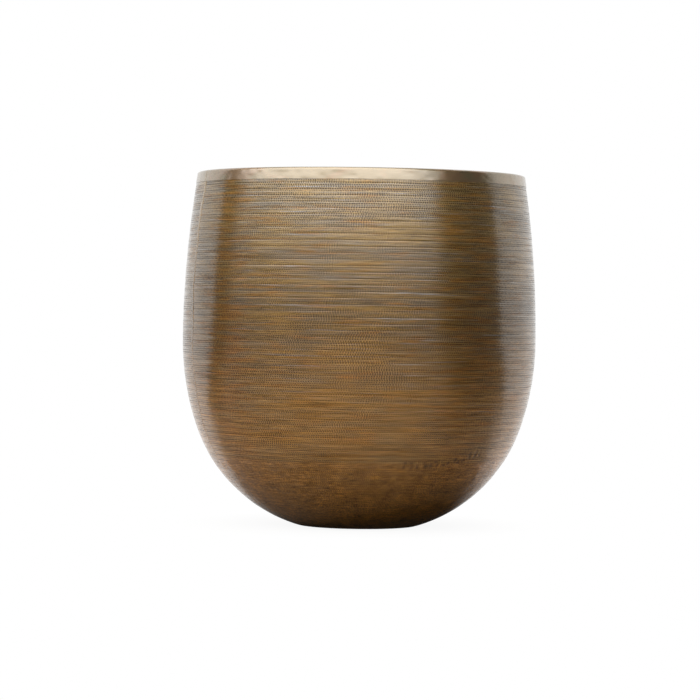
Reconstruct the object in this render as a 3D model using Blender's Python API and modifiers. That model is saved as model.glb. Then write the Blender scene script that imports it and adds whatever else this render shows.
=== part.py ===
"""Brass planter pot: a round vessel of thin sheet brass, brazed together from three sheet pieces.

The side wall is one sheet rolled round and closed by an upright brazed seam. It laps over the joggled
lip of a dished base bowl, and a ring of braze fills the groove between the two. A rim band of folded
strip clips over the wall's top edge, has its own closing joint, and is held by a fillet of braze inside.

Metres, +Z up. The origin is the centre of the flat foot's underside, and the front faces -Y.
"""

import math
from collections import namedtuple

import bmesh
import bpy
from mathutils import Matrix

# Outer surface: an upper arc from rim to belly, a flank arc below it, and a bowl arc down to the foot.
HEIGHT = 0.250
RIM_RADIUS = 0.1164
BELLY_RADIUS = 0.1260
BELLY_HEIGHT = 0.1315
FLANK_RADIUS = 0.1885
FLANK_ANGLE = math.radians(19.5)
FOOT_RADIUS = 0.0430

# Sheet and clearance. The gap stands for the film of braze between neighbouring pieces.
SHEET = 0.0012
BAND_SHEET = 0.0009
GAP = 0.0003

# Rim: the band stands slightly proud of the wall, which steps in behind it.
BAND_HEIGHT = 0.0080
INNER_LEG = 0.0062
BAND_PROUD = 0.0003
BAND_OUTER_DEPTH = -BAND_PROUD
REBATE_DEPTH = BAND_SHEET + GAP - BAND_PROUD
BAND_INNER_DEPTH = REBATE_DEPTH + SHEET + GAP
LIP_RADIUS = (BAND_INNER_DEPTH + BAND_SHEET - BAND_OUTER_DEPTH) / 2
LIP_DEPTH = (BAND_INNER_DEPTH + BAND_SHEET + BAND_OUTER_DEPTH) / 2
LIP_HEIGHT = HEIGHT - LIP_RADIUS
LEDGE_HEIGHT = HEIGHT - BAND_HEIGHT - GAP
WALL_STEP = 0.0020
FILLET_HEIGHT = 0.0014

# Base seam: the wall laps over the bowl's lip, with a groove for braze below the wall's edge.
# Inside, the bowl steps in between two levels, both measured down from the groove's lower edge.
SEAM_HEIGHT = 0.0480
SEAM_GROOVE = 0.0026
LAP = 0.0080
LAP_TOP = SEAM_HEIGHT + LAP
LAP_DEPTH = SHEET + GAP
STEP_BOTTOM = 0.0040
STEP_TOP = 0.0010

# Upright seam, on the left of the front and a little towards it. The block that cuts it stands
# astride the wall, between an inner and an outer radius, and reaches past the pot's height.
SEAM_AZIMUTH = math.radians(201.5)
SEAM_SLOT = 0.0026
SEAM_STRIP = SEAM_SLOT - 2 * GAP
BLOCK_INNER_RADIUS = 0.085
BLOCK_OUTER_RADIUS = 0.135
BLOCK_HEIGHT = 1.2 * HEIGHT

# Facets: steps round the pot, and rows up each stretch of a section.
AROUND = 72
WALL_ROWS = 10
LAP_ROWS = 2
BOWL_ROWS = 8
LIP_STEPS = 6
BAND_ROWS = 2
MERGE_DISTANCE = 0.00002
SHARP_ANGLE = math.radians(35)

# Finishes: colour and roughness.
ETCHED_BRASS = ("etched_brass", (0.40, 0.26, 0.12), 0.42)
PLANISHED_BRASS = ("planished_brass", (0.36, 0.23, 0.10), 0.40)
POLISHED_BRASS = ("polished_brass", (0.72, 0.58, 0.36), 0.25)
BRAZE = ("braze", (0.60, 0.44, 0.22), 0.45)

Arc = namedtuple("Arc", "centre_r centre_z radius lowest_angle")


def outline_arcs():
    """The three arcs of the outer surface, from the top down."""
    rise, inset = HEIGHT - BELLY_HEIGHT, BELLY_RADIUS - RIM_RADIUS
    upper_radius = (rise**2 + inset**2) / (2 * inset)
    upper = Arc(BELLY_RADIUS - upper_radius, BELLY_HEIGHT, upper_radius, 0.0)
    flank = Arc(BELLY_RADIUS - FLANK_RADIUS, BELLY_HEIGHT, FLANK_RADIUS, -FLANK_ANGLE)
    # The bowl arc leaves the flank's end in the same direction and passes through the foot's edge.
    normal_r, normal_z = math.cos(-FLANK_ANGLE), math.sin(-FLANK_ANGLE)
    end_r = flank.centre_r + FLANK_RADIUS * normal_r
    end_z = flank.centre_z + FLANK_RADIUS * normal_z
    to_foot_r, to_foot_z = FOOT_RADIUS - end_r, -end_z
    bowl_radius = -(to_foot_r**2 + to_foot_z**2) / (2 * (to_foot_r * normal_r + to_foot_z * normal_z))
    bowl = Arc(end_r - bowl_radius * normal_r, end_z - bowl_radius * normal_z, bowl_radius, -math.pi / 2)
    return upper, flank, bowl


def wall_point(height, depth):
    """(radius, height) of the point at this height on the surface that lies depth inside the outer one."""
    for arc in outline_arcs():
        reach = arc.radius - depth
        if height >= arc.centre_z + reach * math.sin(arc.lowest_angle):
            return arc.centre_r + math.sqrt(reach**2 - (height - arc.centre_z) ** 2), height
    raise ValueError(f"height {height} is below the foot")


def spread(stops, rows):
    """Heights that pass through the stops, with rows[i] even steps between stop i and the next one."""
    heights = [stops[0]]
    for start, end, count in zip(stops, stops[1:], rows):
        heights += [start + (end - start) * (i + 1) / count for i in range(count)]
    return heights


def run(stops, rows, depth):
    """Points at one depth, at the heights that spread gives."""
    return [wall_point(height, depth) for height in spread(stops, rows)]


def wall_section():
    """Closed outline of the side wall: down the outer side, then up the inner one."""
    bottom = SEAM_HEIGHT + SEAM_GROOVE / 2
    rebate_inner = REBATE_DEPTH + SHEET
    outer = run((LIP_HEIGHT, LEDGE_HEIGHT), (1,), REBATE_DEPTH)
    outer += run((LEDGE_HEIGHT, LAP_TOP, bottom), (WALL_ROWS, LAP_ROWS), 0.0)
    inner = run((bottom, LAP_TOP, LEDGE_HEIGHT - WALL_STEP), (LAP_ROWS, WALL_ROWS), SHEET)
    inner += run((LEDGE_HEIGHT, LIP_HEIGHT), (1,), rebate_inner)
    return outer + inner


def bowl_section():
    """Open outline of the base bowl, from the axis inside, over the lip, and down outside to the axis."""
    shoulder = SEAM_HEIGHT - SEAM_GROOVE / 2
    inner = [(0.0, SHEET)] + run((SHEET, shoulder - STEP_BOTTOM), (BOWL_ROWS,), SHEET)
    inner += run((shoulder - STEP_TOP, LAP_TOP), (LAP_ROWS,), LAP_DEPTH + SHEET)
    outer = run((LAP_TOP, shoulder), (LAP_ROWS,), LAP_DEPTH)
    outer += run((shoulder, 0.0), (BOWL_ROWS + 1,), 0.0)
    return inner + outer + [(0.0, 0.0)]


def band_section():
    """Closed outline of the rim band, a strip folded over into a channel that opens downwards."""
    centre_r, centre_z = wall_point(LIP_HEIGHT, LIP_DEPTH)
    turns = [math.pi * i / LIP_STEPS for i in range(1, LIP_STEPS)]

    def lip(radius, angles):
        return [(centre_r + radius * math.cos(a), centre_z + radius * math.sin(a)) for a in angles]

    foot, inner_foot = HEIGHT - BAND_HEIGHT, HEIGHT - INNER_LEG
    section = lip(LIP_RADIUS, reversed(turns))
    section += run((LIP_HEIGHT, foot), (BAND_ROWS,), BAND_OUTER_DEPTH)
    section += run((foot, LIP_HEIGHT), (BAND_ROWS,), BAND_OUTER_DEPTH + BAND_SHEET)
    section += lip(LIP_RADIUS - BAND_SHEET, turns)
    section += run((LIP_HEIGHT, inner_foot), (1,), BAND_INNER_DEPTH)
    section += run((inner_foot, LIP_HEIGHT), (1,), BAND_INNER_DEPTH + BAND_SHEET)
    return section


def base_seam_section():
    """Closed outline of the braze ring in the groove below the wall's lower edge."""
    top = SEAM_HEIGHT + SEAM_GROOVE / 2 - GAP
    bottom = SEAM_HEIGHT - SEAM_GROOVE / 2 + GAP
    return run((top, bottom), (1,), 0.0) + run((bottom, top), (1,), SHEET)


def rim_fillet_section():
    """Closed outline of the braze fillet under the rim band's inner leg."""
    top = HEIGHT - INNER_LEG - GAP
    toe = top - FILLET_HEIGHT
    return [
        wall_point(top, BAND_INNER_DEPTH),
        wall_point(toe, BAND_INNER_DEPTH),
        wall_point(toe, BAND_INNER_DEPTH + GAP),
        wall_point(top, BAND_INNER_DEPTH + BAND_SHEET),
    ]


def clear_scene():
    for obj in list(bpy.data.objects):
        bpy.data.objects.remove(obj)


def new_collection(name, hidden=False):
    collection = bpy.data.collections.new(name)
    bpy.context.scene.collection.children.link(collection)
    collection.hide_render = hidden
    return collection


def metal(name, colour, roughness):
    material = bpy.data.materials.new(name)
    material.use_nodes = True
    shader = material.node_tree.nodes["Principled BSDF"]
    shader.inputs["Base Color"].default_value = (*colour, 1.0)
    shader.inputs["Metallic"].default_value = 1.0
    shader.inputs["Roughness"].default_value = roughness
    return material


def turned(name, section, material, collection, closed=True):
    """An object turned about Z from a section of (radius, height) points."""
    mesh = bpy.data.meshes.new(name)
    count = len(section)
    edges = [(i, (i + 1) % count) for i in range(count if closed else count - 1)]
    mesh.from_pydata([(r, 0.0, z) for r, z in section], edges, [])
    mesh.materials.append(material)
    obj = bpy.data.objects.new(name, mesh)
    collection.objects.link(obj)
    screw = obj.modifiers.new("Turn", "SCREW")
    screw.steps = screw.render_steps = AROUND
    screw.use_merge_vertices = True
    screw.merge_threshold = MERGE_DISTANCE
    return obj


def seam_block(name, width, collection):
    """A hidden upright block of this width on the seam's line, which reaches past the wall on every side."""
    middle = (BLOCK_INNER_RADIUS + BLOCK_OUTER_RADIUS) / 2
    size = (BLOCK_OUTER_RADIUS - BLOCK_INNER_RADIUS, width, BLOCK_HEIGHT)
    turn = Matrix.Rotation(SEAM_AZIMUTH, 3, "Z")
    mesh = bpy.data.meshes.new(name)
    shape = bmesh.new()
    bmesh.ops.create_cube(shape, size=1.0)
    bmesh.ops.scale(shape, vec=size, verts=shape.verts)
    bmesh.ops.translate(shape, vec=(middle, 0.0, HEIGHT / 2), verts=shape.verts)
    bmesh.ops.rotate(shape, cent=(0.0, 0.0, 0.0), matrix=turn, verts=shape.verts)
    shape.to_mesh(mesh)
    shape.free()
    block = bpy.data.objects.new(name, mesh)
    block.hide_render = True
    block.display_type = "WIRE"
    collection.objects.link(block)
    return block


def combine(obj, operation, block):
    boolean = obj.modifiers.new("Seam", "BOOLEAN")
    boolean.operation = operation
    boolean.solver = "EXACT"
    boolean.object = block
    return obj


def shade_round(collection):
    """Applies each object's modifiers, then shades it smooth apart from its sharp edges."""
    for obj in collection.objects:
        evaluated = obj.evaluated_get(bpy.context.evaluated_depsgraph_get())
        mesh = bpy.data.meshes.new_from_object(evaluated)
        obj.modifiers.clear()
        obj.data = mesh
        mesh.shade_smooth()
        mesh.set_sharp_from_angle(angle=SHARP_ANGLE)


def build():
    clear_scene()
    pot = new_collection("brass_planter_pot")
    guides = new_collection("cutters", hidden=True)

    etched = metal(*ETCHED_BRASS)
    planished = metal(*PLANISHED_BRASS)
    polished = metal(*POLISHED_BRASS)
    braze = metal(*BRAZE)

    slot = seam_block("seam_slot", SEAM_SLOT, guides)
    strip = seam_block("seam_strip", SEAM_STRIP, guides)

    combine(turned("side_wall", wall_section(), etched, pot), "DIFFERENCE", slot)
    combine(turned("side_seam_braze", wall_section(), braze, pot), "INTERSECT", strip)
    turned("base_bowl", bowl_section(), planished, pot, closed=False)
    turned("base_seam_braze", base_seam_section(), braze, pot)
    combine(turned("rim_band", band_section(), polished, pot), "DIFFERENCE", slot)
    combine(turned("rim_joint_braze", band_section(), braze, pot), "INTERSECT", strip)
    turned("rim_fillet_braze", rim_fillet_section(), braze, pot)
    shade_round(pot)


build()
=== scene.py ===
"""The looks of the brass planter pot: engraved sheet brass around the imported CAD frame. Metres, +Z up."""

import math
from collections import namedtuple
from functools import partial

import bpy
import numpy as np
from mathutils import Matrix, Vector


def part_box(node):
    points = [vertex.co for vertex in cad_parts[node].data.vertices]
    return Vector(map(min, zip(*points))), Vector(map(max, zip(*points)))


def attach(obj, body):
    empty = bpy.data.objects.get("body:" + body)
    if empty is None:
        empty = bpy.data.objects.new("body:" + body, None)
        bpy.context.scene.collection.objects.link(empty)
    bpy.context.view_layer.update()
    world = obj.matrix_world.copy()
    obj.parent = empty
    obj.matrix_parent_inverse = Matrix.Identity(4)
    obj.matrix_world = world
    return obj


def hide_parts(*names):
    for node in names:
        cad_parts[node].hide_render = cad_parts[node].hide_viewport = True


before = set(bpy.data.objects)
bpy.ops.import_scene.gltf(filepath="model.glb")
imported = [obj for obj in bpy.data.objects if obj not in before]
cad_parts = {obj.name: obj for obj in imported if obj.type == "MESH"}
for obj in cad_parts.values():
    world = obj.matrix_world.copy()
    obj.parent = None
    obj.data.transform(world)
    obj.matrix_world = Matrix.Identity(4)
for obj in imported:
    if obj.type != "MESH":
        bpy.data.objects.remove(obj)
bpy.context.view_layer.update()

MM = 0.001

# Outer surface, as the CAD draws it: an upper arc, a flank arc below the belly, and a bowl arc to the foot.
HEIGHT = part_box("rim_band")[1].z
RIM_RADIUS = 116.4 * MM
BELLY_RADIUS = 126.0 * MM
BELLY_HEIGHT = 131.5 * MM
FLANK_RADIUS = 188.5 * MM
FLANK_ANGLE = math.radians(19.5)
FOOT_RADIUS = 43.0 * MM

# Sheet sizes, and the levels at which the pieces meet
SHEET = 1.2 * MM
BAND_SHEET = 0.9 * MM
BAND_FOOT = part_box("rim_band")[0].z
BAND_PROUD = 0.3 * MM
LIP_RADIUS = 1.8 * MM
LIP_DEPTH = LIP_RADIUS - BAND_PROUD
LIP_HEIGHT = HEIGHT - LIP_RADIUS
INNER_LEG_FOOT = HEIGHT - 6.2 * MM
REBATE_DEPTH = 0.9 * MM
WALL_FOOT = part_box("side_wall")[0].z
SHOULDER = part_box("base_seam_braze")[0].z - 0.3 * MM
LAP_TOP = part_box("base_bowl")[1].z
LAP_DEPTH = 1.5 * MM
SEAM_AZIMUTH = math.radians(201.5)
SLOT_HALF = 1.3 * MM
TUCK = 0.06 * MM

# Engraving: fine lines all over, and every third one cut deeper
FINE_PITCH = 1.46 * MM
DEEP_EVERY = 3
ROWS_PER_LINE = 3
LINE_WANDER = 0.25 * MM
LINE_JITTER = 0.10
PIN_REACH = 4 * MM
WALL_DEEP, WALL_FINE = 0.10 * MM, 0.04 * MM
BOWL_DEEP, BOWL_FINE = 0.07 * MM, 0.02 * MM

# How far each skin lies inside the CAD's outer surface, and how uneven it is
WALL_SINK, WALL_SWELL = 0.10 * MM, 0.022 * MM
BOWL_SINK, BOWL_SWELL, BOWL_FACETS = 0.16 * MM, 0.020 * MM, 0.33 * MM
BAND_SINK, BAND_FACETS, BAND_RAGGED = 0.16 * MM, 0.26 * MM, 0.12 * MM
SWELLS = ((3, 4.0), (7, 7.0), (11, 5.0), (17, 11.0), (26, 9.0))

# Mesh columns round the pot, and across a braze strip, and rows over the rim's fold, down its leg, and down
# the skin of the ring in the base seam
WALL_COLUMNS = 234
BOWL_COLUMNS = 420
BAND_COLUMNS = 900
RING_COLUMNS = 460
FILLET_COLUMNS = 360
STRIP_COLUMNS = 9
ROUND_ROWS, LEG_ROWS = 9, 9
RING_ROWS = 9

SHARP_ANGLE = math.radians(50)

Arc = namedtuple("Arc", "centre_r centre_z radius lowest_angle")
rng = np.random.default_rng(20)


def outline_arcs():
    """The three arcs of the outer surface, from the top down."""
    rise, inset = HEIGHT - BELLY_HEIGHT, BELLY_RADIUS - RIM_RADIUS
    upper_radius = (rise**2 + inset**2) / (2 * inset)
    upper = Arc(BELLY_RADIUS - upper_radius, BELLY_HEIGHT, upper_radius, 0.0)
    flank = Arc(BELLY_RADIUS - FLANK_RADIUS, BELLY_HEIGHT, FLANK_RADIUS, -FLANK_ANGLE)
    normal_r, normal_z = math.cos(-FLANK_ANGLE), math.sin(-FLANK_ANGLE)
    end_r = flank.centre_r + FLANK_RADIUS * normal_r
    end_z = flank.centre_z + FLANK_RADIUS * normal_z
    to_foot_r, to_foot_z = FOOT_RADIUS - end_r, -end_z
    bowl_radius = -(to_foot_r**2 + to_foot_z**2) / (2 * (to_foot_r * normal_r + to_foot_z * normal_z))
    bowl = Arc(end_r - bowl_radius * normal_r, end_z - bowl_radius * normal_z, bowl_radius, -math.pi / 2)
    return upper, flank, bowl


ARCS = outline_arcs()


def radius_at(height, depth=0.0):
    """Radius, at these heights, of the surface that lies depth inside the outer one."""
    height = np.asarray(height, float)
    radius = np.zeros_like(height)
    for arc in reversed(ARCS):
        reach = arc.radius - depth
        span = np.sqrt(np.maximum(reach**2 - (height - arc.centre_z) ** 2, 0.0))
        here = height >= arc.centre_z + reach * math.sin(arc.lowest_angle)
        radius = np.where(here, arc.centre_r + span, radius)
    return radius


def smooth(t):
    return t * t * (3 - 2 * t)


def along(rows, columns, cells, across=None):
    """Seeded smooth noise in 0..1, rows x columns. It has so many cells round the pot, and a fresh line of
    values for each row, or for each of `across` levels with a smooth change between them."""
    lines = across or rows
    lattice = rng.random((lines, cells + 2))
    place = np.linspace(0, cells, columns)
    left = np.minimum(place.astype(int), cells)
    share = smooth(place - left)
    field = lattice[:, left] * (1 - share) + lattice[:, left + 1] * share
    if across is None:
        return field
    level = np.linspace(0, lines - 1.001, rows)
    low = level.astype(int)
    rise = smooth(level - low)[:, None]
    return field[low] * (1 - rise) + field[low + 1] * rise


def turned(name, radius, height, angle, lines, ring, traits=None):
    """A mesh from arrays of rows x columns. Rows run down the outer side and up the inner one, and the last
    row joins the first. `ring` joins the last column to the first too, and without it both ends get a face.
    `lines` holds each point's pattern height."""
    rows, columns = radius.shape
    points = np.stack([radius * np.cos(angle), radius * np.sin(angle), height], axis=-1).reshape(-1, 3)
    column = np.arange(columns if ring else columns - 1)
    i, j = np.meshgrid(np.arange(rows), column, indexing="ij")
    below, beside = (i + 1) % rows, (j + 1) % columns
    corners = [i * columns + j, below * columns + j, below * columns + beside, i * columns + beside]
    faces = np.stack(corners, axis=-1).reshape(-1, 4).tolist()
    quads = len(faces)
    if not ring:
        start = [k * columns for k in range(rows)]
        faces += [start[::-1], [k + columns - 1 for k in start]]
    mesh = bpy.data.meshes.new(name)
    mesh.from_pydata(points.tolist(), [], faces)
    turn = 2 * math.pi * BELLY_RADIUS / MM
    across = np.linspace(0.0, turn, columns + 1 if ring else columns)
    u = np.stack([across[j], across[j], across[j + 1], across[j + 1]], axis=-1)
    v = np.stack([lines[i, j], lines[below, j], lines[below, beside], lines[i, beside]], axis=-1) / MM
    uv = np.zeros((len(mesh.loops), 2), np.float32)
    uv[: quads * 4] = np.stack([u, v], axis=-1).reshape(-1, 2)
    mesh.uv_layers.new(name="lines").data.foreach_set("uv", uv.ravel())
    for trait, values in (traits or {}).items():
        field = mesh.attributes.new(trait, "FLOAT", "POINT")
        field.data.foreach_set("value", values.astype(np.float32).ravel())
    mesh.shade_smooth()
    mesh.set_sharp_from_angle(angle=SHARP_ANGLE)
    obj = bpy.data.objects.new(name, mesh)
    bpy.context.scene.collection.objects.link(obj)
    return obj


def seam_line(height):
    """How far the upright seam wanders round the pot at each height, in metres along the surface."""
    place = height / HEIGHT * 2 * math.pi
    broad = 1.1 * np.sin(2.3 * place + 0.6)
    middling = 0.7 * np.sin(5.1 * place + 2.0)
    return MM * (broad + middling + 0.35 * np.sin(13 * place))


def open_angles(height, columns):
    """Azimuths from one edge of the upright slot round to the other, which follow the seam's wandering."""
    fade = 12 * MM
    share = np.linspace(0.0, 1.0, columns)[None, :]
    near = np.exp(-np.minimum(share, 1 - share) * 2 * math.pi * BELLY_RADIUS / fade)
    half = (SLOT_HALF - TUCK) / BELLY_RADIUS
    plain = SEAM_AZIMUTH + half + share * (2 * math.pi - 2 * half)
    return plain + near * seam_line(height) / BELLY_RADIUS


def heights_along(top, bottom, count):
    """Heights of `count` points spaced evenly along the outer surface, from top to bottom."""
    steps = 400
    level = np.linspace(top, bottom, steps)
    radius = radius_at(level)
    travelled = np.concatenate([[0.0], np.cumsum(np.hypot(np.diff(level), np.diff(radius)))])
    return np.interp(np.linspace(0, travelled[-1], count), travelled, level), travelled[-1]


def engraved(top, bottom, deep, fine, columns):
    """Arrays for an engraved stretch with three rows to a line: its heights, how deep each point is cut,
    pattern heights, and the traits that colour it. `deep` and `fine` are the depths of the two kinds of
    line. The trait cut is how dark a line is, polish how worn the sheet, and phase where a line's dots
    start. Row is 1 along the bottom of a line and 0 elsewhere."""
    length = heights_along(top, bottom, 2)[1]
    count = int(round(length / FINE_PITCH))
    rows = ROWS_PER_LINE * count + 2
    level = heights_along(top, bottom, rows)[0]
    row = np.arange(rows)
    line = np.clip((row - 1) // ROWS_PER_LINE, 0, count - 1)
    valley = (row % ROWS_PER_LINE == 2) & (row < rows - 1)
    is_deep = np.arange(count) % DEEP_EVERY == 1
    deep_row = is_deep[line][:, None]
    land = (line + 1) // DEEP_EVERY

    wander = (along(rows, columns, 24, 26) - 0.5) * LINE_WANDER
    jitter = rng.uniform(-LINE_JITTER, LINE_JITTER, count)[line][:, None] * FINE_PITCH
    pin = np.clip(np.minimum(top - level, level - bottom) / PIN_REACH, 0, 1)[:, None]
    pattern = np.broadcast_to((top - np.linspace(0, length, rows))[:, None], wander.shape)
    height = level[:, None] + (wander + jitter) * pin

    # Each land is polished in long and short patches, which wear the fine lines away
    lands = int(land.max()) + 1
    polish = (0.55 * along(lands, columns, 9) + 0.45 * along(lands, columns, 26))[land]
    worn = np.clip((polish - 0.45) * 4, 0, 1)
    strong = np.clip(0.5 + 0.8 * along(count, columns, 34), 0, 1)
    faint = np.clip(1.4 * along(count, columns, 40) - 0.1, 0, 1)
    strength = np.where(is_deep[:, None], strong, faint)[line]
    strength = strength * np.where(deep_row, 1.0, 1 - 0.75 * worn) * valley[:, None]
    depth = strength * np.where(deep_row, deep, fine)
    shade = strength * np.where(deep_row, 1.0, 0.75)
    phase = np.broadcast_to(rng.random(count)[line][:, None], wander.shape)
    dotted = np.broadcast_to(valley[:, None].astype(float), wander.shape)
    return height, depth, pattern, {"cut": shade, "polish": polish, "phase": phase, "row": dotted}


def swell(angle, height, size):
    """Broad, shallow unevenness left by raising the sheet."""
    place = height / HEIGHT
    field = np.zeros_like(angle * height)
    for around, up in SWELLS:
        across = np.sin(around * angle + up * place * 2 + rng.uniform(0, 6.3))
        field += across * np.sin(up * place + rng.uniform(0, 6.3))
    return field * size


def hammered(rows, columns, broad, fine):
    """Hammer marks of two sizes, as heights about nought. A size is its cells round the pot and down it."""
    return along(rows, columns, *broad) + 0.5 * along(rows, columns, *fine) - 0.75


def traits_for(rows, columns, before, fields):
    """The traits of a whole piece, from those of its engraved stretch, which starts at row `before`. The
    rest of the piece is plain sheet."""
    whole = {"plain": np.ones((rows, columns))}
    for name, field in fields.items():
        whole[name] = np.zeros((rows, columns))
        whole[name][before:before + len(field)] = field
        whole["plain"][before:before + len(field)] = 0.0
    return whole


def level_rows(levels, depth, columns):
    """Heights and radii of plain rows at these levels, so deep inside the outer surface."""
    level = np.repeat(np.array(levels)[:, None], columns, axis=1)
    return level, radius_at(level, depth)


def flat_rows(radii, level, columns):
    """Heights and radii of plain rows that lie flat at one level."""
    spread = np.repeat(np.array(radii)[:, None], columns, axis=1)
    return np.full_like(spread, level), spread


def side_wall():
    """The rolled sheet, engraved outside and plain inside, stepped in behind the rim band."""
    columns = WALL_COLUMNS
    ledge = BAND_FOOT - 0.05 * MM
    height, depth, lines, fields = engraved(ledge, WALL_FOOT - TUCK, WALL_DEEP, WALL_FINE, columns)
    angle = open_angles(height, columns)
    outer = radius_at(height) - depth - WALL_SINK + swell(angle, height, WALL_SWELL)
    step = REBATE_DEPTH + SHEET
    top_h, top_r = level_rows([LIP_HEIGHT, ledge + 0.02 * MM], REBATE_DEPTH, columns)
    low_h, low_r = level_rows(np.linspace(WALL_FOOT - TUCK, LAP_TOP, 4), SHEET, columns)
    in_h, in_r = level_rows(np.linspace(LAP_TOP + 4 * MM, ledge - 2 * MM, 9), SHEET, columns)
    up_h, up_r = level_rows([ledge, LIP_HEIGHT], step, columns)
    all_h = np.concatenate([top_h, height, low_h, in_h, up_h])
    all_r = np.concatenate([top_r, outer, low_r, in_r, up_r])
    pattern = np.concatenate([top_h, lines, low_h, in_h, up_h])
    traits = traits_for(len(all_h), columns, len(top_h), fields)
    angle = open_angles(all_h, columns)
    return turned("side_wall_sheet", all_r, all_h, angle, pattern, ring=False, traits=traits)


def base_bowl():
    """The dished base: a joggled lip behind the wall, a planished and lightly engraved outer side, a flat
    foot."""
    columns = BOWL_COLUMNS
    round_angle = SEAM_AZIMUTH + np.arange(columns)[None, :] * 2 * math.pi / columns
    height, depth, lines, fields = engraved(SHOULDER + TUCK, 0.6 * MM, BOWL_DEEP, BOWL_FINE, columns)
    fade = np.clip(height / (30 * MM), 0.15, 1)
    facets = hammered(len(height), columns, (84, 11), (150, 17))
    outer = radius_at(height) - depth * fade - BOWL_SINK + swell(round_angle, height, BOWL_SWELL)
    outer = outer + facets * BOWL_FACETS * np.clip(height / (12 * MM), 0, 1)

    flat = [0.5 * MM, 20 * MM, 36 * MM]
    lip_h, lip_r = level_rows(np.linspace(LAP_TOP, SHOULDER, 5), LAP_DEPTH, columns)
    foot_h, foot_r = flat_rows([FOOT_RADIUS - 0.4 * MM] + flat[::-1], 0.0, columns)
    floor_h, floor_r = flat_rows(flat, SHEET, columns)
    in_h, in_r = level_rows(np.linspace(SHEET, SHOULDER - 4 * MM, 24), SHEET, columns)
    top_h, top_r = level_rows(np.linspace(SHOULDER - MM, LAP_TOP, 4), LAP_DEPTH + SHEET, columns)
    # Rows run down the outer side to the axis below, then from the axis inside out and up to the lip.
    all_h = np.concatenate([lip_h, height, foot_h, floor_h, in_h, top_h])
    all_r = np.concatenate([lip_r, outer, foot_r, floor_r, in_r, top_r])
    pattern = np.concatenate([lip_h, lines, foot_h, floor_h, in_h, top_h])
    angle = np.broadcast_to(round_angle, all_h.shape)
    fields["cut"] = fields["cut"] * fade
    fields["polish"] = fields["polish"] * 0.8
    traits = traits_for(len(all_h), columns, len(lip_h), fields)
    return turned("base_bowl_sheet", all_r, all_h, angle, pattern, ring=True, traits=traits)


def rim_section():
    """(radius, height) of points round the folded strip, with one row of the mesh for each: over the fold
    to the outer leg, down its face and up behind it, back under the fold, and round the inner leg."""
    turns = np.linspace(0, math.pi, ROUND_ROWS + 2)[1:-1]
    centre = float(radius_at(LIP_HEIGHT, LIP_DEPTH))
    fold = LIP_RADIUS - BAND_SHEET
    legs = np.linspace(LIP_HEIGHT, BAND_FOOT, LEG_ROWS)
    inner = 2 * LIP_RADIUS - BAND_PROUD - BAND_SHEET
    rows = [(centre + LIP_RADIUS * math.cos(a), LIP_HEIGHT + LIP_RADIUS * math.sin(a)) for a in turns[::-1]]
    rows += [(float(radius_at(h, -BAND_PROUD)), h) for h in legs]
    rows += [(float(radius_at(h, BAND_SHEET - BAND_PROUD)), h) for h in (BAND_FOOT, LIP_HEIGHT)]
    rows += [(centre + fold * math.cos(a), LIP_HEIGHT + fold * math.sin(a)) for a in turns]
    rows += [(float(radius_at(h, inner)), h) for h in (LIP_HEIGHT, INNER_LEG_FOOT)]
    rows += [(float(radius_at(h, inner + BAND_SHEET)), h) for h in (INNER_LEG_FOOT, LIP_HEIGHT)]
    return np.array(rows)


def rim_band():
    """The folded strip, with shallow planishing marks on its face and a slightly uneven lower edge."""
    columns = BAND_COLUMNS
    section = rim_section()
    height = np.repeat(section[:, 1:], columns, axis=1)
    angle = open_angles(height, columns)
    marks = hammered(len(section), columns, (70, 5), (170, 12))
    face = (np.arange(len(section)) < ROUND_ROWS + LEG_ROWS)[:, None]
    radius = section[:, :1] - face * (BAND_SINK + BAND_FACETS * np.clip(marks, -0.6, 0.8))
    low = np.abs(section[:, 1:] - BAND_FOOT) < 0.01 * MM
    height = height + low * along(1, columns, 90) * BAND_RAGGED
    return turned("rim_band_strip", radius, height, angle, height, ring=False)


def braze_strip(name, section, proud, half=SLOT_HALF, lean=0.0, ragged=0.25, traits=None):
    """Braze in an upright joint: a strip over the slot, which wanders with the seam and stands a little
    proud. It reaches about `half` to each side of its middle, which lies `lean` to the right of the slot's.
    `ragged` is how much its width varies."""
    share = np.linspace(-1, 1, STRIP_COLUMNS)[None, :]
    height = np.repeat(section[:, 1:], STRIP_COLUMNS, axis=1)
    width = half * (1 + ragged * (along(len(section), STRIP_COLUMNS, 2) - 0.5))
    angle = SEAM_AZIMUTH + (share * width + lean + seam_line(height)) / BELLY_RADIUS
    outer = np.arange(len(section)) < (len(section) + 1) // 2
    bead = np.where(outer[:, None], proud * (1 - share**2) - 0.12 * MM, 0.0)
    return turned(name, section[:, :1] + bead, height, angle, height, ring=False, traits=traits)


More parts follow.
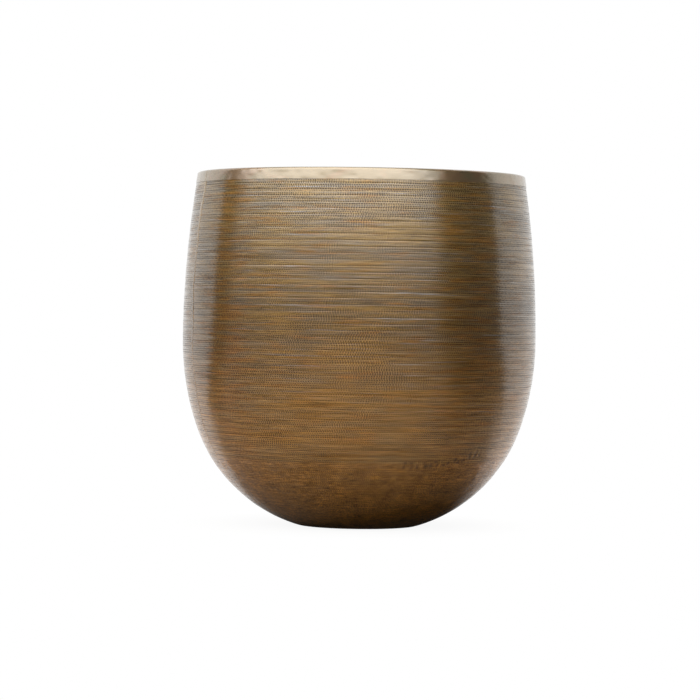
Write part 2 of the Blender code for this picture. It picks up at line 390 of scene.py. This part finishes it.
def side_seam():
    """The upright seam: filed bright near the rim, and ticked and darkened like the wall lower down."""
    levels = np.linspace(BAND_FOOT - 0.05 * MM, WALL_FOOT + 0.2 * MM, 420)
    bright_from, bright_rise = 165 * MM, 50 * MM
    outer = np.stack([radius_at(levels), levels], axis=-1)
    inner = np.stack([radius_at(levels[::-1], SHEET), levels[::-1]], axis=-1)
    section = np.concatenate([outer, inner])
    number = np.arange(len(section))[:, None]
    shape = (len(section), STRIP_COLUMNS)
    row = np.broadcast_to((number % 3 == 0).astype(float), shape)
    plain = np.broadcast_to((number >= len(levels)).astype(float), shape)
    bright = smooth(np.clip((section[:, 1:] - bright_from) / bright_rise, 0, 1))
    cut = (0.9 - 0.7 * bright) * row * along(len(section), STRIP_COLUMNS, 2)
    polish = 0.5 + 0.9 * bright + 0.4 * along(len(section), STRIP_COLUMNS, 1, 60)
    phase = np.zeros(shape)
    traits = {"cut": cut, "row": row * (1 - bright), "plain": plain, "phase": phase, "polish": polish}
    return braze_strip("side_seam_braze_line", section, proud=0.12 * MM, half=1.55 * SLOT_HALF,
                       lean=0.6 * MM, ragged=0.5, traits=traits)


def base_seam():
    """The ring of braze in the groove under the wall's lower edge."""
    columns = RING_COLUMNS
    levels = np.concatenate([np.linspace(WALL_FOOT, SHOULDER, RING_ROWS), [SHOULDER, WALL_FOOT]])
    depth = np.concatenate([np.full(RING_ROWS, 0.1 * MM), np.full(2, SHEET)])
    height = np.repeat(levels[:, None], columns, axis=1)
    angle = np.broadcast_to(SEAM_AZIMUTH + np.arange(columns) * 2 * math.pi / columns, height.shape)
    skin = (depth < SHEET / 2)[:, None]
    uneven = along(len(levels), columns, 120, 3)
    radius = radius_at(height) - depth[:, None] + 0.06 * MM * skin * uneven
    row = np.broadcast_to((np.arange(len(levels)) % 4 == 2)[:, None].astype(float), height.shape)
    none = np.zeros_like(height)
    cut = 0.8 * row * skin * along(len(levels), columns, 50)
    polish = 0.5 * along(len(levels), columns, 60, 4)
    traits = {"cut": cut, "row": row * skin, "plain": none, "phase": none, "polish": polish}
    return turned("base_seam_braze_ring", radius, height, angle, height, ring=True, traits=traits)


def rim_fillet():
    """The small fillet of braze under the band's inner leg."""
    columns = FILLET_COLUMNS
    top, toe = INNER_LEG_FOOT - 0.02 * MM, INNER_LEG_FOOT - 1.7 * MM
    back = 2 * LIP_RADIUS - BAND_PROUD - BAND_SHEET
    corners = ((top, back - 0.1 * MM), (toe, back - 0.1 * MM), (toe, back + 0.15 * MM),
               ((top + toe) / 2, back + 0.4 * MM), (top, back + BAND_SHEET))
    moves = np.array([0, 0, 1, 1, 0])[:, None]
    section = np.array([(float(radius_at(h, d)), h) for h, d in corners])
    height = np.repeat(section[:, 1:], columns, axis=1)
    angle = np.broadcast_to(SEAM_AZIMUTH + np.arange(columns) * 2 * math.pi / columns, height.shape)
    ragged = (along(len(corners), columns, 60) - 0.5) * 0.25 * MM * moves
    return turned("rim_fillet_braze_bead", section[:, :1] + ragged, height, angle, height, ring=True)


class Graph:
    """Short calls for making and linking a material's nodes."""

    def __init__(self, tree):
        self.tree = tree

    def node(self, kind, inputs=None, **settings):
        made = self.tree.nodes.new("ShaderNode" + kind)
        for key, value in settings.items():
            setattr(made, key, value)
        for key, value in (inputs or {}).items():
            self.feed(made.inputs[key], value)
        return made

    def feed(self, socket, value):
        if isinstance(value, bpy.types.NodeSocket):
            self.tree.links.new(value, socket)
        elif socket.type == "RGBA" and len(value) == 3:
            socket.default_value = (*value, 1.0)
        else:
            socket.default_value = value

    def math(self, operation, a, b=0.0, clamp=False):
        return self.node("Math", {0: a, 1: b}, operation=operation, use_clamp=clamp).outputs[0]

    def product(self, *values):
        whole = values[0]
        for value in values[1:]:
            whole = self.math("MULTIPLY", whole, value)
        return whole

    def total(self, *values):
        whole = values[0]
        for value in values[1:]:
            whole = self.math("ADD", whole, value)
        return whole

    def centred(self, value, size):
        """A value in 0..1 turned into one that swings by half of size about nought."""
        return self.math("MULTIPLY", self.math("SUBTRACT", value, 0.5), size)

    def mix(self, factor, a, b, blend="MIX"):
        made = self.node("Mix", {0: factor, 6: a, 7: b}, data_type="RGBA", blend_type=blend)
        return made.outputs[2]

    def span(self, value, low, high, to_low=0.0, to_high=1.0):
        inputs = {"Value": value, "From Min": low, "From Max": high, "To Min": to_low, "To Max": to_high}
        return self.node("MapRange", inputs).outputs[0]

    def vector(self, x, y, z=0.0):
        return self.node("CombineXYZ", {0: x, 1: y, 2: z}).outputs[0]

    def noise(self, vector, scale=1.0, detail=3.0, roughness=0.6):
        inputs = {"Vector": vector, "Scale": scale, "Detail": detail, "Roughness": roughness}
        return self.node("TexNoise", inputs).outputs[0]

    def trait(self, name):
        return self.node("Attribute", attribute_name=name).outputs["Fac"]

    def wave(self, value, pitch):
        """A sine in 0..1 along a length."""
        turn = self.math("MULTIPLY", value, 2 * math.pi / pitch)
        return self.span(self.math("SINE", turn), -1.0, 1.0)

    def bearing(self, x, y):
        """Radians from the viewer's side round to the viewer's right."""
        return self.math("ARCTAN2", x, self.math("MULTIPLY", y, -1.0))

    def around(self):
        """The direction round the pot."""
        return self.node("Tangent", direction_type="RADIAL", axis="Z").outputs[0]


# Gold and tarnish have colours at three heights, in millimetres, which paint in light and shade: brighter
# and redder near the foot, to make up for the dark floor that the lower metal mirrors, darker at the belly,
# and paler near the rim, where the soft box shines. `line` is the colour of the cuts, and `relief` how deep
# the small marks look. Marks are `short` times shorter than the wall's, `mottle` is how blotchy the colour
# is, and the last field how brown the corrosion and the painted side shade make the metal.
Brass = namedtuple("Brass", "golds tarnishes line relief short mottle rusty")
COLOUR_HEIGHTS = (60.0, 140.0, 238.0)
BELLY_GOLD, RIM_GOLD = (0.224, 0.120, 0.024), (0.300, 0.188, 0.052)

WALL_BRASS = Brass(golds=((0.51, 0.238, 0.038), BELLY_GOLD, RIM_GOLD),
                   tarnishes=((0.36, 0.195, 0.053), (0.138, 0.086, 0.035), (0.188, 0.135, 0.067)),
                   line=(0.030, 0.018, 0.011), relief=0.35, short=1.0, mottle=0.3, rusty=0.8)
BOWL_BRASS = Brass(golds=((0.55, 0.235, 0.026), BELLY_GOLD, RIM_GOLD),
                   tarnishes=((0.42, 0.200, 0.040), (0.142, 0.087, 0.034), (0.192, 0.136, 0.065)),
                   line=(0.11, 0.055, 0.016), relief=0.5, short=3.5, mottle=1.5, rusty=0.3)

# The corrosion tint browns the gold under it and under the painted side shade. The glint grey is painted
# highlight: thin pale lines where the lips of the cuts catch the light.
# The dots along a line are TICK_PITCH millimetres apart.
RUST_AND_SHADE_TINT = (1.0, 0.78, 0.50)
GLINT_GREY = (0.23, 0.195, 0.155)
TICK_PITCH = 1.75


def new_metal(name):
    """A new material, calls for its nodes, and the shader that they feed."""
    material = bpy.data.materials.new(name)
    material.use_nodes = True
    return material, Graph(material.node_tree), material.node_tree.nodes["Principled BSDF"]


def pattern_place(g):
    """Millimetres round the pot, and millimetres up it, as each mesh maps them."""
    return g.node("SeparateXYZ", {0: g.node("UVMap", uv_map="lines").outputs[0]}).outputs[:2]


def stretched(g, u, v, around, up, seed, detail=3.0, roughness=0.6):
    """Noise in 0..1 with so many cells to a millimetre, round the pot and up it."""
    place = g.vector(g.math("MULTIPLY", u, around), g.math("MULTIPLY", v, up), seed)
    return g.noise(place, detail=detail, roughness=roughness)


def lacquered(g, shader, colour, roughness, coat, normal, brushed=0.4):
    """Metal brushed round the pot, so that it blurs reflections upright, under a clear lacquer. `coat` is
    the lacquer's weight, refractive index and roughness."""
    weight, index, coat_roughness = coat
    quarter_turn = 0.25
    inputs = {"Base Color": colour, "Roughness": roughness, "Metallic": 1.0, "Normal": normal,
              "Anisotropic": brushed, "Anisotropic Rotation": quarter_turn, "Tangent": g.around(),
              "Coat Weight": weight, "Coat IOR": index, "Coat Roughness": coat_roughness,
              "Coat Normal": normal}
    for name, value in inputs.items():
        g.feed(shader.inputs[name], value)


def hammer_marks(g):
    """A row of small round dents by the base seam: 1 in a dent, else 0. It climbs to the viewer's right."""
    row_height, climb_from, climb = 48.0 * MM, 0.50, 20.5 * MM
    pitch, stray, first, last = 4.6 * MM, 0.55, 0.26, 0.93
    x, y, z = g.node("SeparateXYZ", {0: g.node("TexCoord").outputs["Object"]}).outputs
    turn = g.bearing(x, y)
    rise = g.math("MULTIPLY", g.math("MAXIMUM", g.math("SUBTRACT", turn, climb_from), 0.0), climb)
    above = g.math("SUBTRACT", g.math("SUBTRACT", z, row_height), rise)
    place = g.vector(g.math("MULTIPLY", turn, float(radius_at(row_height)) / pitch),
                     g.math("ADD", g.math("MULTIPLY", above, 1 / pitch), 0.5))
    cells = g.node("TexVoronoi", {"Vector": place, "Scale": 1.0, "Randomness": stray},
                   voronoi_dimensions="2D").outputs["Distance"]
    dent = g.span(cells, 0.50, 0.10)
    in_row = g.span(g.math("ABSOLUTE", above), 0.65 * pitch, 0.45 * pitch)
    middle, half = (first + last) / 2, (last - first) / 2
    in_run = g.span(g.math("ABSOLUTE", g.math("SUBTRACT", turn, middle)), half, half * 0.9)
    return g.product(dent, in_row, in_run)


def painted_side_shade(g):
    """Painted shade: how much browner the tarnish is painted in two broad upright stretches, to the
    viewer's left and right, where the metal mirrors the studio's dark gaps.
    """
    left = {"middle": -0.82, "wide": 0.24, "narrow": 0.08, "most": 0.11}
    right = {"middle": 0.64, "wide": 0.28, "narrow": 0.10, "most": 0.08}
    x, y, _ = g.node("SeparateXYZ", {0: g.node("TexCoord").outputs["Object"]}).outputs
    turn = g.bearing(x, y)

    def stretch(middle, wide, narrow, most):
        return g.span(g.math("ABSOLUTE", g.math("SUBTRACT", turn, middle)), wide, narrow, 0.0, most)

    return g.math("ADD", stretch(**left), stretch(**right))


def patina_and_painted_light(g, v, brass, worn, cloud, rust, painted_glint):
    """Tarnish worn through to gold, in colours that change with height to paint in light and shade, with
    browner stretches of corrosion and of painted side shade, and thin pale lines of painted highlight.
    """

    def by_height(colours):
        foot, belly, rim = colours
        lower = g.mix(g.span(v, *COLOUR_HEIGHTS[:2]), foot, belly)
        return g.mix(g.span(v, *COLOUR_HEIGHTS[1:]), lower, rim)

    gold, tarnish = by_height(brass.golds), by_height(brass.tarnishes)
    metal = g.mix(worn, tarnish, gold)
    metal = g.mix(g.span(cloud, 0.42, 0.66, 0.0, 0.35), metal, gold)
    # Brown corrosion tint, which also paints the side shade
    metal = g.mix(g.math("MULTIPLY", rust, brass.rusty), metal, g.mix(1.0, gold, RUST_AND_SHADE_TINT, "MULTIPLY"))
    # Painted highlight: the pale grey lines of the glints
    return g.mix(g.math("MULTIPLY", painted_glint, 0.8), metal, GLINT_GREY)


def dull_sheet(g):
    """The colour of the plain sheet inside and under the pot, and the smudges that vary it."""
    smudge = g.noise(g.node("TexCoord").outputs["Object"], scale=45.0, detail=4.0, roughness=0.65)
    return g.mix(g.span(smudge, 0.35, 0.65), (0.22, 0.145, 0.07), (0.40, 0.275, 0.14)), smudge


def leaning(g, normal, lean):
    """The normal, leaning so far round the pot."""
    aside = g.node("VectorMath", {0: g.around(), "Scale": lean}, operation="SCALE").outputs[0]
    facing = g.node("VectorMath", {0: normal, 1: aside}, operation="ADD").outputs[0]
    return g.node("VectorMath", {0: facing}, operation="NORMALIZE").outputs[0]


def engraved_brass(name, brass):
    """Antiqued brass: worn golden lands between greyer ones, all finely ticked, and dark dotted cuts."""
    material, g, shader = new_metal(name)
    u, v = pattern_place(g)
    noise = partial(stretched, g, u, v)
    cut, polish, plain, phase, row = (g.trait(t) for t in ("cut", "polish", "plain", "phase", "row"))
    dent = hammer_marks(g)
    short = brass.short
    foot_height, belly_height, rim_height = COLOUR_HEIGHTS

    # Long marks of several sizes, where painted glints and brown corrosion lie, and blotches, patches and
    # grain
    streak = noise(0.025 * short, 0.5, seed=0.0)
    thread = noise(0.02 * short, 0.75, seed=4.0, detail=2.0)
    hair = noise(0.06 * short, 1.6, seed=5.0, detail=2.0)
    # Painted highlight: thin pale lines where the lips of the cuts catch the light, fainter near the foot
    painted_glint = g.span(noise(0.013 * short, 0.60, seed=31.0, roughness=0.7), 0.60, 0.68)
    painted_glint = g.math("MULTIPLY", painted_glint, g.span(v, foot_height, belly_height, 0.2, 1.0))
    cloud = noise(0.02, 0.035, seed=9.0, detail=4.0)
    patch = g.span(noise(0.06, 0.35, seed=6.0), 0.40, 0.60)
    # Brown corrosion, with painted shade in two upright side stretches where the metal mirrors the dark
    # gaps
    brown = g.math("ADD", noise(0.03 * short, 0.30, seed=21.0, detail=4.0, roughness=0.65), painted_side_shade(g))
    rust = g.math("MULTIPLY", g.span(brown, 0.53, 0.67), g.span(v, foot_height, belly_height, 0.4, 1.0))
    blotch = noise(0.07, 0.10, seed=14.0, detail=4.0, roughness=0.65)
    grain = noise(0.6, 1.0, seed=2.0, detail=2.0, roughness=0.8)

    # Small dots along each line, in and out of step from line to line
    start = g.math("MULTIPLY", phase, TICK_PITCH)
    drift = g.centred(noise(0.15, 0.8, seed=11.0), 2.2)
    tick = g.wave(g.total(u, start, drift), TICK_PITCH)

    # How worn the lands are, and how dark the marks on them: `lift` scales the metal's colour
    shine = g.total(0.25, g.math("MULTIPLY", polish, 0.5), g.centred(streak, 1.0), g.centred(thread, 1.7),
                    g.centred(cloud, 0.6))
    worn = g.span(shine, 0.25, 0.85)
    engraving = g.span(worn, 0.0, 1.0, 1.0, 0.75)
    bite = g.span(v, foot_height, rim_height, 1.25, 0.80)
    dots = g.product(row, bite, engraving, g.span(tick, 0.0, 1.0, -0.8, 1.6),
                     g.span(patch, 0.0, 1.0, 0.45, 1.0))
    shade = g.total(dots, g.centred(thread, 2.0), g.centred(hair, 1.7), g.centred(grain, 2.2), -0.10)
    tone = g.total(1.0, g.math("MULTIPLY", shade, -1.0), g.centred(blotch, brass.mottle))
    lift = g.math("MAXIMUM", tone, 0.15)

    metal = patina_and_painted_light(g, v, brass, worn, cloud, rust, painted_glint)
    metal = g.mix(1.0, metal, g.vector(lift, lift, lift), "MULTIPLY")
    groove = g.math("MULTIPLY", cut, g.span(tick, 0.0, 1.0, -1.4, 3.6), clamp=True)
    dark = g.math("MAXIMUM", groove, g.math("MULTIPLY", dent, 0.65))
    metal = g.mix(g.math("MULTIPLY", dark, 0.95), metal, brass.line)
    dull, smudge = dull_sheet(g)
    metal = g.mix(plain, metal, dull)

    rough = g.span(worn, 0.0, 1.0, 0.65, 0.50)
    weight = g.product(g.span(lift, 0.2, 1.1, 0.65, 1.0), g.span(groove, 0.0, 1.0, 1.0, 0.12),
                       g.span(rust, 0.0, 1.0, 1.0, 0.7))
    index = g.total(g.span(worn, 0.0, 1.0, 1.90, 1.62), g.math("MULTIPLY", painted_glint, 0.6))
    coat = (weight, index, g.span(worn, 0.0, 1.0, 0.08, 0.05))
    marks = g.math("ADD", g.math("MULTIPLY", shade, -brass.relief), g.math("MULTIPLY", dent, -2.5))
    relief = g.mix(plain, g.vector(marks, marks, marks), g.vector(smudge, smudge, smudge))
    bump = g.node("Bump", {"Height": relief, "Strength": 0.6, "Distance": 0.10 * MM}).outputs[0]
    # Each land faces a slightly different way
    engraved_part = g.math("SUBTRACT", 1.0, plain)
    facing = leaning(g, bump, g.product(engraved_part, g.centred(streak, 0.10)))
    lacquered(g, shader, metal, rough, coat, facing, brushed=g.math("MULTIPLY", engraved_part, 0.4))
    return material


def bright_brass(name):
    """The rim's plain bright brass, finely brushed, with brown staining, and painted shade in two browner
    side stretches.
    """
    material, g, shader = new_metal(name)
    u, v = pattern_place(g)
    cloud = stretched(g, u, v, 0.05, 0.12, seed=3.0, detail=4.0)
    brush = stretched(g, u, v, 0.15, 5.0, seed=1.0)
    grit = g.noise(g.vector(u, v, 2.0), scale=1.5, roughness=0.7)
    metal = g.mix(g.span(brush, 0.3, 0.7), (0.26, 0.180, 0.055), (0.21, 0.130, 0.032))
    # Brown staining, with painted shade doubled into it in the two side stretches
    stain_and_painted_shade = g.math("ADD", cloud, g.math("MULTIPLY", painted_side_shade(g), 2.0))
    metal = g.mix(g.span(stain_and_painted_shade, 0.52, 0.72, 0.0, 0.75), metal, (0.30, 0.15, 0.042))
    rough = g.span(grit, 0.3, 0.7, 0.35, 0.50)
    relief = g.math("ADD", g.math("MULTIPLY", brush, 0.4), g.math("MULTIPLY", grit, 0.4))
    bump = g.node("Bump", {"Height": relief, "Strength": 0.4, "Distance": 0.06 * MM}).outputs[0]
    lacquered(g, shader, metal, rough, (1.0, 2.42, 0.21), bump)
    return material


def braze_metal(name):
    """Filed braze: paler than the rim, and lightly pitted."""
    material, g, shader = new_metal(name)
    place = g.node("TexCoord").outputs["Object"]
    fine = g.noise(place, scale=900.0)
    broad = g.noise(place, scale=90.0)
    metal = g.mix(g.span(broad, 0.35, 0.65), (0.40, 0.28, 0.13), (0.30, 0.20, 0.08))
    metal = g.mix(g.span(fine, 0.58, 0.72, 0.0, 0.5), metal, (0.12, 0.08, 0.04))
    rough = g.span(fine, 0.3, 0.7, 0.4, 0.55)
    bump = g.node("Bump", {"Height": fine, "Strength": 0.5, "Distance": 0.1 * MM}).outputs[0]
    lacquered(g, shader, metal, rough, (1.0, 1.75, 0.18), bump)
    return material


def dress(obj, material, node):
    """Give a piece its material, attach it to the root body, and hide the CAD node that it stands for."""
    obj.data.materials.append(material)
    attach(obj, "root")
    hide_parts(node)


# The studio's light by direction: degrees to the right of the viewer's side, and brightness on the floor
# near the pot, near the horizon, and well above it. The metal mirrors the dark gaps as upright bands.
BANDS = (
    (-180, 0.86, 1.02, 0.95), (-112, 0.86, 1.02, 1.05), (-108, 0.86, 0.09, 0.12), (-103, 0.84, 0.09, 0.12),
    (-98, 0.30, 0.09, 0.12), (-87, 0.34, 0.44, 2.80), (0, 0.32, 0.41, 2.85), (30, 0.32, 0.42, 2.90),
    (48, 0.31, 0.38, 2.60), (58, 0.25, 0.11, 0.09), (80, 0.27, 0.11, 0.07), (89, 0.32, 0.11, 0.07),
    (93, 0.80, 0.11, 0.07), (102, 0.84, 0.11, 0.07), (105, 0.82, 0.90, 0.90), (180, 0.88, 1.02, 0.95),
)
TURN, FLOOR, LOW, HIGH = range(4)
HIGH_FROM, HIGH_TO = math.sin(math.radians(6.5)), math.sin(math.radians(22))
BRIGHTEST = 3.0


def sweep(g, x, y, column):
    """The studio's brightness in the direction (x, y), over BRIGHTEST, from that column of the bands."""
    made = g.node("ValToRGB", {0: g.span(g.bearing(x, y), -math.pi, math.pi)})
    stops = made.color_ramp.elements
    for k, band in enumerate(BANDS):
        place = band[TURN] / 360 + 0.5
        stop = stops[k] if k < 2 else stops.new(place)
        stop.position = place
        stop.color = (band[column] / BRIGHTEST,) * 3 + (1.0,)
    return made.outputs[0]


def studio():
    """A white sweep of soft light, with dark gaps at both sides and a bright soft box above the front."""
    world = bpy.data.worlds.new("studio")
    bpy.context.scene.world = world
    world.use_nodes = True
    g = Graph(world.node_tree)
    world.node_tree.nodes.clear()
    direction = g.node("SeparateXYZ", {0: g.node("TexCoord").outputs["Generated"]})
    x, y, z = direction.outputs
    glow = g.mix(g.span(z, HIGH_FROM, HIGH_TO), sweep(g, x, y, LOW), sweep(g, x, y, HIGH))
    light = g.node("Background", {"Color": glow, "Strength": BRIGHTEST})
    seen = g.node("Background", {"Color": (1.0, 1.0, 1.0), "Strength": 1.0})
    camera_ray = g.node("LightPath").outputs["Is Camera Ray"]
    mixed = g.node("MixShader", {0: camera_ray, 1: light.outputs[0], 2: seen.outputs[0]})
    g.feed(g.node("OutputWorld").inputs[0], mixed.outputs[0])


def pale_floor():
    """A pale floor that meets the backdrop without a line, with a faint shadow close to the foot. In the
    metal it looks like the foot of the sweep, and is in deep shade under the pot."""
    half, shadow_reach, shadow_share = 6.0, 0.13, 0.08
    shade_centre, under_pot, beside_pot, under_pot_share = (0.018, 0.0, 0.0), 0.06, 0.16, 0.03
    near_floor, far_floor = 0.15, 0.45
    mesh = bpy.data.meshes.new("floor")
    corners = [(-half, -half, 0), (half, -half, 0), (half, half, 0), (-half, half, 0)]
    mesh.from_pydata(corners, [], [(0, 1, 2, 3)])
    floor = bpy.data.objects.new("floor", mesh)
    floor.location.z = -0.15 * MM
    bpy.context.scene.collection.objects.link(floor)
    material = bpy.data.materials.new("floor_paint")
    material.use_nodes = True
    g = Graph(material.node_tree)
    material.node_tree.nodes.clear()
    place = g.node("TexCoord").outputs["Object"]
    x, y, _ = g.node("SeparateXYZ", {0: place}).outputs
    reach = g.node("VectorMath", {0: place}, operation="LENGTH").outputs["Value"]
    near = g.span(reach, FOOT_RADIUS, shadow_reach, shadow_share, 0.0)
    white = g.node("Emission", {"Color": (1.0, 1.0, 1.0), "Strength": 1.0})
    paint = g.node("BsdfDiffuse", {"Color": (0.6, 0.58, 0.55)})
    seen = g.node("MixShader", {0: near, 1: white.outputs[0], 2: paint.outputs[0]})
    aside = g.node("VectorMath", {0: place, 1: shade_centre}, operation="DISTANCE").outputs["Value"]
    share = g.span(aside, under_pot, beside_pot, under_pot_share, 1.0)
    glow = g.mix(g.span(reach, near_floor, far_floor), sweep(g, x, y, FLOOR), sweep(g, x, y, LOW))
    glow = g.mix(1.0, glow, g.vector(share, share, share), "MULTIPLY")
    mirrored = g.node("Emission", {"Color": glow, "Strength": BRIGHTEST})
    camera_ray = g.node("LightPath").outputs["Is Camera Ray"]
    mixed = g.node("MixShader", {0: camera_ray, 1: mirrored.outputs[0], 2: seen.outputs[0]})
    g.feed(g.node("OutputMaterial").inputs[0], mixed.outputs[0])
    mesh.materials.append(material)


def camera():
    """The photo's view: almost level, from two metres, with a long lens, turned a little off upright."""
    pitch, yaw, roll = math.radians(-0.936), math.radians(0.184), math.radians(0.80)
    data = bpy.data.cameras.new("camera")
    data.lens, data.sensor_width = 144.2, 36.0
    data.clip_start, data.clip_end = 0.05, 60.0
    obj = bpy.data.objects.new("camera", data)
    bpy.context.scene.collection.objects.link(obj)
    obj.location = (0.0, -2.005, 0.1575)
    level = Matrix.Rotation(math.radians(90) + pitch, 4, "X")
    turn = Matrix.Rotation(yaw, 4, "Z")
    obj.rotation_mode = "QUATERNION"
    obj.rotation_quaternion = (turn @ level @ Matrix.Rotation(roll, 4, "Z")).to_quaternion()
    bpy.context.scene.camera = obj


def build():
    wall_brass = engraved_brass("etched_brass_look", WALL_BRASS)
    bowl_brass = engraved_brass("planished_brass_look", BOWL_BRASS)
    bright = bright_brass("polished_brass_look")
    braze = braze_metal("braze_look")
    dress(side_wall(), wall_brass, "side_wall")
    dress(base_bowl(), bowl_brass, "base_bowl")
    dress(rim_band(), bright, "rim_band")
    dress(side_seam(), wall_brass, "side_seam_braze")
    dress(base_seam(), bowl_brass, "base_seam_braze")
    rim_joint = braze_strip("rim_joint_braze_line", rim_section(), proud=0.05 * MM)
    dress(rim_joint, braze, "rim_joint_braze")
    dress(rim_fillet(), braze, "rim_fillet_braze")
    studio()
    pale_floor()
    camera()
    bpy.context.scene.view_settings.view_transform = "Standard"


build()
